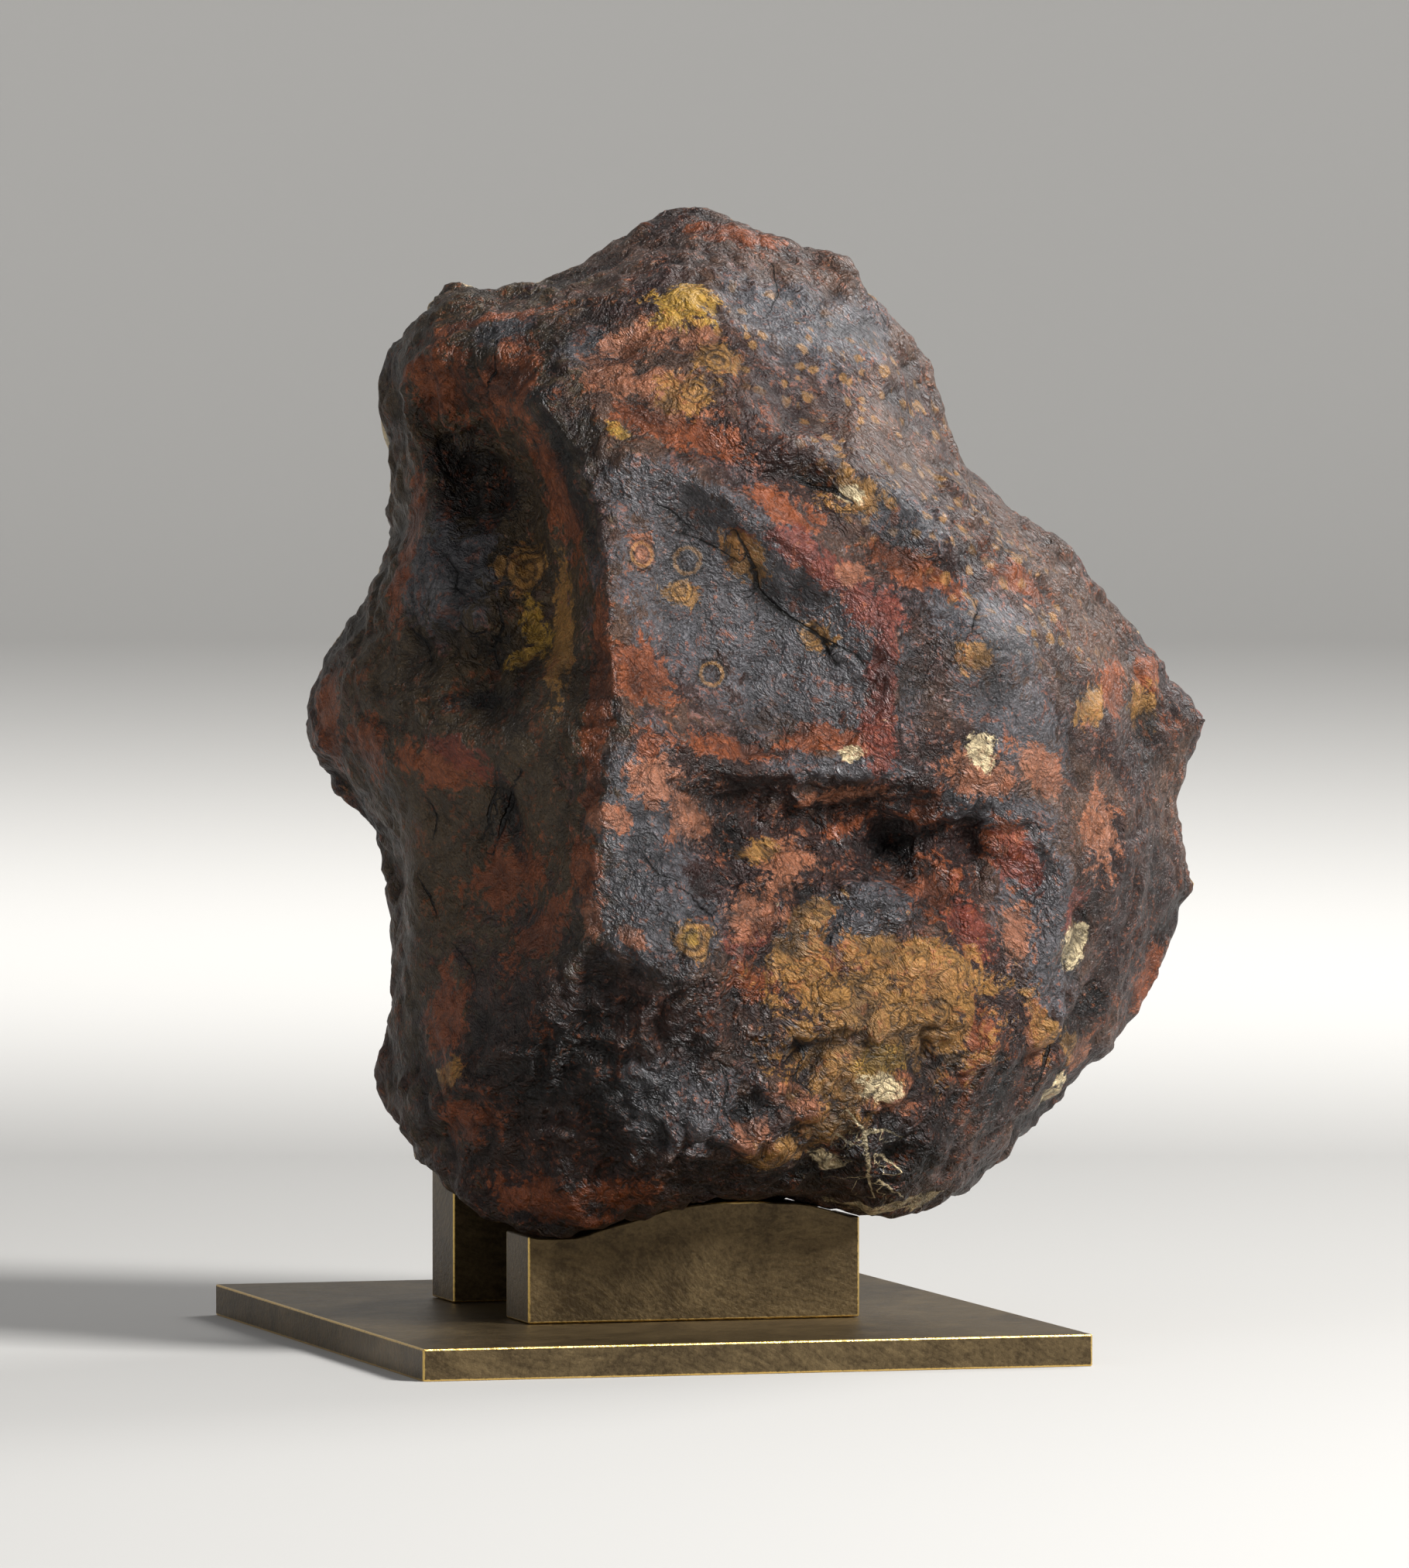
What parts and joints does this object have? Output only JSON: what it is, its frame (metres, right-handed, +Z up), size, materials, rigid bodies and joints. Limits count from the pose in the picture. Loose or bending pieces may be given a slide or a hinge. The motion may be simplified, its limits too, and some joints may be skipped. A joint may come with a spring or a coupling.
{
  "type": "iron meteorite on a stand",
  "caption": "Rust-brown and slate-grey iron meteorite with a sharp prow, thumbprint hollows and ochre deposits, resting on a low stand of aged bronze plate",
  "frame": {"origin": "centre of the base plate's underside, where the stand rests", "axes": "+Z up from the underside, +X along the two supports towards the stone's pointed right side, +Y away from the front of the plate"},
  "size_m": [0.2709, 0.254, 0.3401],
  "materials": {
    "meteorite": "rough semi-gloss crust of dark brown and slate grey, with rust, salmon and ochre patches",
    "base_plate": "aged bronze, finely brushed, with bright worn edges",
    "supports": "aged bronze with a mottled brushed patina and bright worn edges"
  },
  "bodies": {
    "root": {"meteorite": "meteorite", "base_plate": "base_plate", "front_support": "supports", "rear_support": "supports"}
  },
  "joints": []
}
